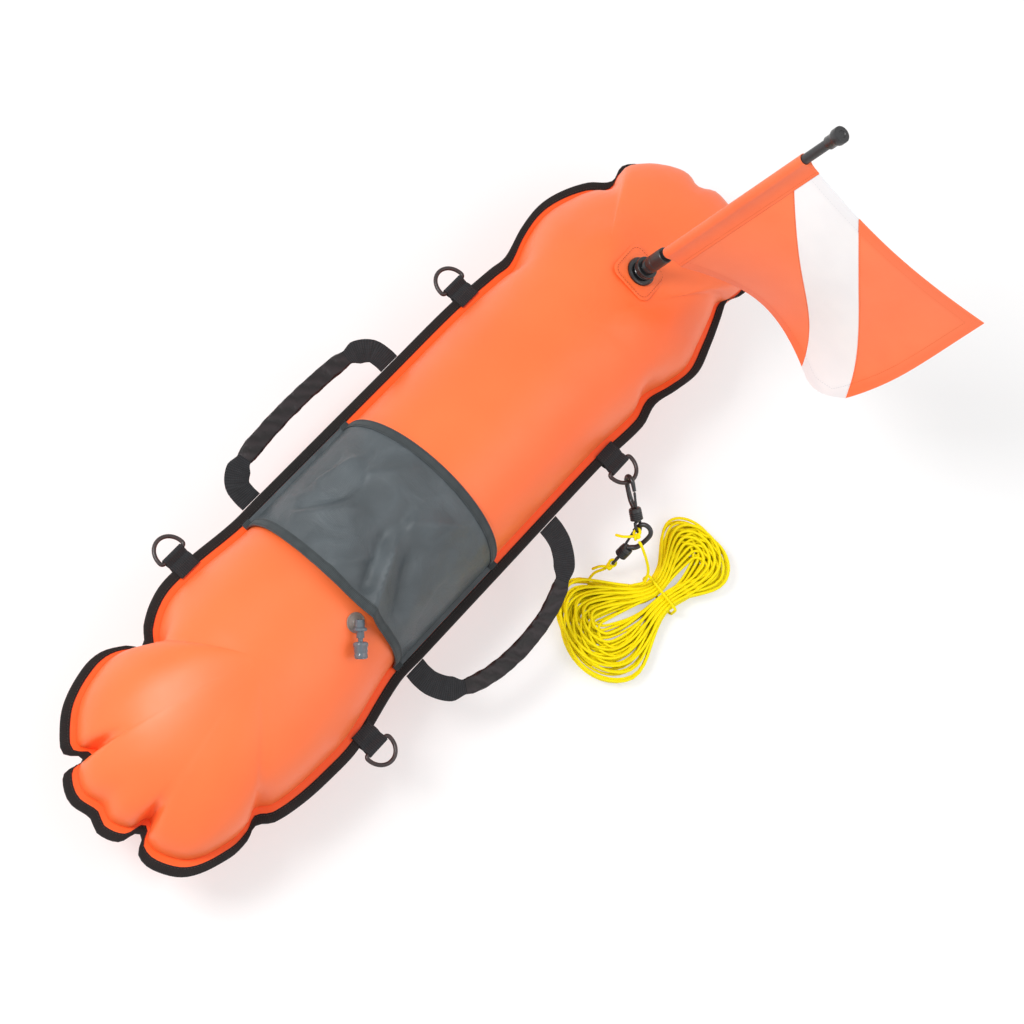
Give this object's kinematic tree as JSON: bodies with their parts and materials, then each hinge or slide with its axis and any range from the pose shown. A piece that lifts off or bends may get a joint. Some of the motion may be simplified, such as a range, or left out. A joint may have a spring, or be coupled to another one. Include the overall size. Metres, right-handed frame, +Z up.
{
  "type": "dive flag float",
  "caption": "Inflatable dive flag float with a cargo pocket, side handles, D-rings, a plug-in flag pole and a hank of line on two snap hooks.",
  "frame": {"origin": "middle of the flat strip under the float, on the floor", "axes": "+X towards the nose that carries the flag, +Y to the float's left side, +Z up"},
  "size_m": [0.948, 0.4542, 0.4976],
  "materials": {
    "orange_skin": "satin coated fabric",
    "black_tape": "woven tape",
    "black_webbing": "woven webbing",
    "grey_cloth": "coated cloth",
    "grey_tape": "woven tape",
    "soft_clear": "soft clear plastic",
    "smoked_clear": "clear moulded",
    "black_plastic": "moulded satin",
    "black_rod": "drawn rod",
    "orange_cloth": "plain woven",
    "white_cloth": "plain woven",
    "sleeve_cloth": "plain woven",
    "coated_wire": "satin black",
    "yellow_line": "braided line"
  },
  "bodies": {
    "float": {"upper_panel": "orange_skin", "lower_panel": "orange_skin", "edge_binding": "black_tape", "pocket_panel": "grey_cloth", "pocket_hem_mouth": "grey_tape", "pocket_hem_closed": "grey_tape", "flag_patch": "orange_skin", "socket_base": "black_plastic", "socket_ring": "black_plastic", "valve_flange": "soft_clear", "valve_stem": "smoked_clear", "left_front_tab": "black_webbing", "left_rear_tab": "black_webbing", "right_front_tab": "black_webbing", "right_rear_tab": "black_webbing", "hook_1_eye": "black_plastic", "hook_2_eye": "black_plastic", "knot_1": "yellow_line", "knot_2": "yellow_line", "line_lead_1": "yellow_line", "line_lead_2": "yellow_line", "line_hank": "yellow_line", "hank_tie": "yellow_line"},
    "left_handle": {"left_handle_strap": "black_webbing", "left_handle_grip": "black_webbing"},
    "right_handle": {"right_handle_strap": "black_webbing", "right_handle_grip": "black_webbing"},
    "left_front_dee": {"left_front_ring": "coated_wire"},
    "left_rear_dee": {"left_rear_ring": "coated_wire"},
    "right_front_dee": {"right_front_ring": "coated_wire"},
    "right_rear_dee": {"right_rear_ring": "coated_wire"},
    "hook_1": {"hook_1_body": "black_plastic"},
    "gate_1": {"hook_1_gate": "black_plastic"},
    "hook_2": {"hook_2_body": "black_plastic"},
    "gate_2": {"hook_2_gate": "black_plastic"},
    "pole": {"pole_foot": "black_plastic", "flag_pole": "black_rod", "pole_tip": "black_plastic"},
    "flag": {"flag_sleeve": "sleeve_cloth", "flag_hoist_panel": "orange_cloth", "flag_white_stripe": "white_cloth", "flag_fly_panel": "orange_cloth"},
    "valve_push": {"valve_mouthpiece": "smoked_clear", "valve_poppet": "soft_clear"}
  },
  "joints": [
    {"name": "left_handle_fold", "type": "hinge", "parent": "float", "child": "left_handle", "pos_m": [0.004, 0.1153, 0.09], "axis": [1, 0, 0], "range_deg": [-85, 88]},
    {"name": "right_handle_fold", "type": "hinge", "parent": "float", "child": "right_handle", "pos_m": [-0.005, -0.1153, 0.09], "axis": [-1, 0, 0], "range_deg": [-66, 110]},
    {"name": "left_front_dee_turn", "type": "hinge", "parent": "float", "child": "left_front_dee", "pos_m": [0.221, 0.12461, 0.09], "axis": [1, 0, 0], "range_deg": [-75, 75]},
    {"name": "left_rear_dee_turn", "type": "hinge", "parent": "float", "child": "left_rear_dee", "pos_m": [-0.194, 0.13167, 0.09], "axis": [1, 0, 0], "range_deg": [-75, 75]},
    {"name": "right_front_dee_turn", "type": "hinge", "parent": "float", "child": "right_front_dee", "pos_m": [0.201, -0.12639, 0.09], "axis": [-1, 0, 0], "range_deg": [-6, 2]},
    {"name": "right_rear_dee_turn", "type": "hinge", "parent": "float", "child": "right_rear_dee", "pos_m": [-0.194, -0.13938, 0.09], "axis": [-1, 0, 0], "range_deg": [-75, 75]},
    {"name": "hook_1_swivel", "type": "hinge", "parent": "float", "child": "hook_1", "pos_m": [0.19945, -0.13968, 0.09357], "axis": [-0.4254, -0.7907, -0.4404], "range_deg": [-25, 25]},
    {"name": "hook_1_gate_open", "type": "hinge", "parent": "hook_1", "child": "gate_1", "pos_m": [0.18368, -0.16898, 0.08215], "axis": [-0.8806, 0.4738, 0], "range_deg": [0, 25], "stiffness_Nm_per_rad": 0.01},
    {"name": "hook_2_swivel", "type": "hinge", "parent": "float", "child": "hook_2", "pos_m": [0.18146, -0.1923, 0.07678], "axis": [-0.6, 0, -0.8], "range_deg": [-11, 11]},
    {"name": "hook_2_gate_open", "type": "hinge", "parent": "hook_2", "child": "gate_2", "pos_m": [0.16052, -0.1879, 0.04886], "axis": [0.8, 0, -0.6], "range_deg": [0, 25], "stiffness_Nm_per_rad": 0.01},
    {"name": "pole_pull", "type": "slide", "parent": "float", "child": "pole", "axis": [0.2385, -0.167, 0.9567], "range_m": [0, 0.018]},
    {"name": "flag_turn", "type": "hinge", "parent": "pole", "child": "flag", "pos_m": [0.334, -0.007, 0.17691], "axis": [0.2385, -0.167, 0.9567], "continuous": true},
    {"name": "valve_press", "type": "slide", "parent": "float", "child": "valve_push", "axis": [0.6601, 0.7101, 0.245], "range_m": [0, 0.003], "stiffness_N_per_m": 300}
  ]
}
